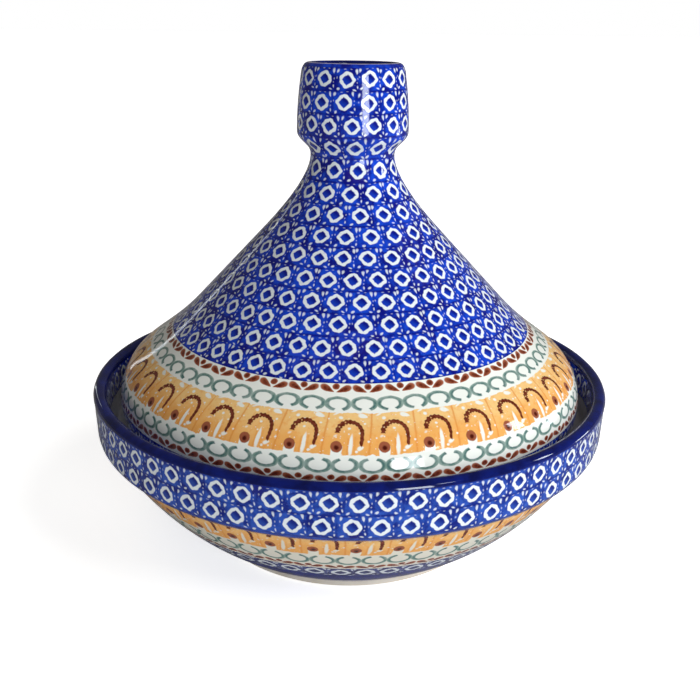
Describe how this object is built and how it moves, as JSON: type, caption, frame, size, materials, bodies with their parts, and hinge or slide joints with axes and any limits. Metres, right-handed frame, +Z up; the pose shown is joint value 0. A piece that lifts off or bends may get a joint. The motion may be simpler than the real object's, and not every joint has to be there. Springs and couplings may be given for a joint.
{
  "type": "tagine pot",
  "caption": "Glazed stoneware tagine: a shallow footed dish with an upright collar, and a tall cone lid with a hollow cup knob, stamped in blue, yellow, green and brown bands.",
  "frame": {"origin": "the middle of the foot, on the surface that the pot stands on", "axes": "+Z is up, along the axis that the pot is turned about; X and Y are across it and alike"},
  "size_m": [0.2999, 0.3, 0.2746],
  "materials": {
    "cream_glaze": "gloss",
    "cobalt_glaze": "gloss",
    "knob_glaze": "gloss"
  },
  "bodies": {
    "dish": {"dish": "cream_glaze"},
    "lid": {"lid_cone": "cobalt_glaze", "lid_knob": "knob_glaze"}
  },
  "joints": [
    {"name": "lid_lift", "type": "slide", "parent": "dish", "child": "lid", "axis": [0, 0, 1], "range_m": [0, 0.12]}
  ]
}
